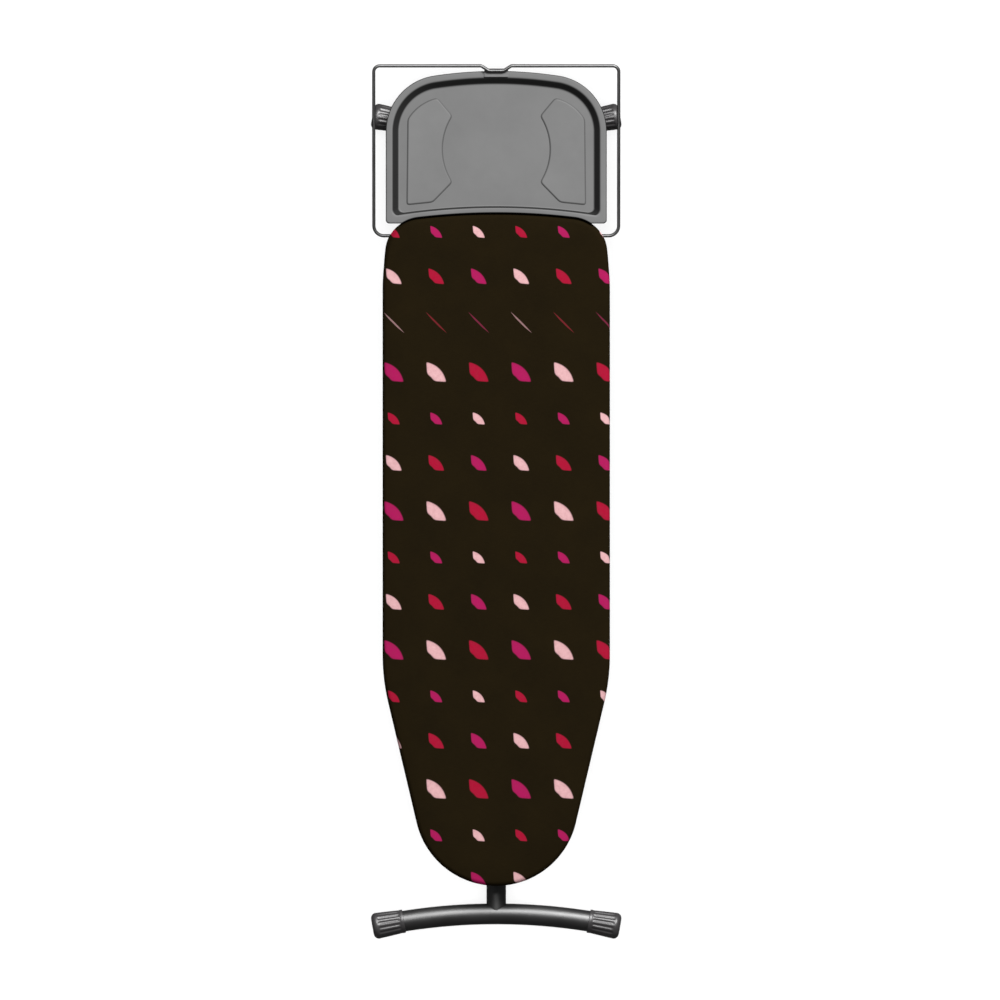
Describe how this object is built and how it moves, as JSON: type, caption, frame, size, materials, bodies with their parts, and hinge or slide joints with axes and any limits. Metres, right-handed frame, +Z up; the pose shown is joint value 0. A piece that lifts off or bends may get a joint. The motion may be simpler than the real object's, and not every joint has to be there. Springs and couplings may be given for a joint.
{
  "type": "ironing board",
  "caption": "Folding ironing board with a tapered padded top, iron tray, swing-up hanger rail, scissor legs with bowed feet and a clamp release lever.",
  "frame": {"origin": "on the floor, under the middle of the folded board", "axes": "+Z up, the normal of the ironing surface; +Y from the nose to the iron tray; +X to the right when the tray is far away"},
  "size_m": [0.4214, 1.4697, 0.0934],
  "materials": {
    "frame_black": "gloss black powder coat",
    "mesh_steel": "grey coated expanded steel",
    "padding_felt": "needled felt and foam",
    "cover_cotton": "printed cotton, dark ground with red and pink petals",
    "tray_grey": "fine texture",
    "tray_pad_grey": "fine texture",
    "tab_light": "satin",
    "cap_plastic": "satin, ribbed",
    "slider_nylon": "natural nylon",
    "zinc_steel": "zinc plated",
    "grip_rubber": "matt"
  },
  "bodies": {
    "board": {"frame_tube_head": "frame_black", "frame_tube_left": "frame_black", "frame_tube_right": "frame_black", "frame_tube_nose": "frame_black", "cross_tube_nose": "frame_black", "cross_tube_middle": "frame_black", "cross_tube_head": "frame_black", "mesh_panel": "mesh_steel", "padding": "padding_felt", "cover": "cover_cotton", "iron_tray": "tray_grey", "tray_pad_left": "tray_pad_grey", "tray_pad_right": "tray_pad_grey", "tray_arm_left": "frame_black", "tray_arm_right": "frame_black", "arm_plug_left": "cap_plastic", "arm_plug_right": "cap_plastic", "tray_clips": "tray_grey", "rail_rest": "tab_light", "rail_bracket_left": "cap_plastic", "rail_bracket_right": "cap_plastic", "leg_bracket": "frame_black", "leg_pivot_bolt": "zinc_steel", "leg_pivot_nut": "zinc_steel", "slide_rail_left": "frame_black", "slide_rail_right": "frame_black", "clamp_rod": "zinc_steel", "rod_block_nose": "cap_plastic", "rod_block_middle": "cap_plastic"},
    "leg_a": {"leg_a_tube": "frame_black", "leg_a_bush": "cap_plastic", "foot_a_tube": "frame_black", "foot_a_cap_left": "cap_plastic", "foot_a_cap_right": "cap_plastic", "scissor_bolt": "zinc_steel", "scissor_nut": "zinc_steel", "scissor_spacer_left": "cap_plastic", "scissor_spacer_right": "cap_plastic"},
    "leg_b": {"leg_b_tube_left": "frame_black", "leg_b_tube_right": "frame_black", "leg_b_brace": "frame_black", "foot_b_tube": "frame_black", "foot_b_cap_left": "cap_plastic", "foot_b_cap_right": "cap_plastic", "slide_pin_left": "zinc_steel", "slide_pin_right": "zinc_steel"},
    "carriage": {"carriage_bridge": "frame_black", "carriage_ear_left": "frame_black", "carriage_ear_right": "frame_black", "slider_block_left": "slider_nylon", "slider_block_right": "slider_nylon", "lever_pin": "zinc_steel", "clamp_spring": "zinc_steel"},
    "release_lever": {"clamp_plate": "zinc_steel", "release_handle": "frame_black", "release_grip": "grip_rubber"},
    "hanger_rail": {"hanger_rail": "frame_black", "rail_collar_left": "cap_plastic", "rail_collar_right": "cap_plastic"}
  },
  "joints": [
    {"name": "leg_fold", "type": "hinge", "parent": "board", "child": "leg_a", "pos_m": [0, 0.4452, 0.022], "axis": [1, 0, 0], "range_deg": [0, 52]},
    {"name": "leg_scissor", "type": "hinge", "parent": "leg_a", "child": "leg_b", "pos_m": [0, -0.0328, 0.022], "axis": [1, 0, 0], "range_deg": [-104.5, 0.5]},
    {"name": "carriage_pivot", "type": "hinge", "parent": "leg_b", "child": "carriage", "pos_m": [0, -0.5108, 0.022], "axis": [1, 0, 0], "range_deg": [-0.5, 52.5]},
    {"name": "release_lever", "type": "hinge", "parent": "carriage", "child": "release_lever", "pos_m": [0, -0.5378, 0.06], "axis": [1, 0, 0], "range_deg": [0, 10], "stiffness_Nm_per_rad": 1.5, "springref_deg": -11.46},
    {"name": "hanger_rail_swing", "type": "hinge", "parent": "board", "child": "hanger_rail", "pos_m": [0, 0.4472, 0.044], "axis": [1, 0, 0], "range_deg": [0, 84]}
  ],
  "couplings": [
    {"joint": "leg_scissor", "follows": "leg_fold", "ratio": -2},
    {"joint": "carriage_pivot", "follows": "leg_fold", "ratio": 1}
  ]
}
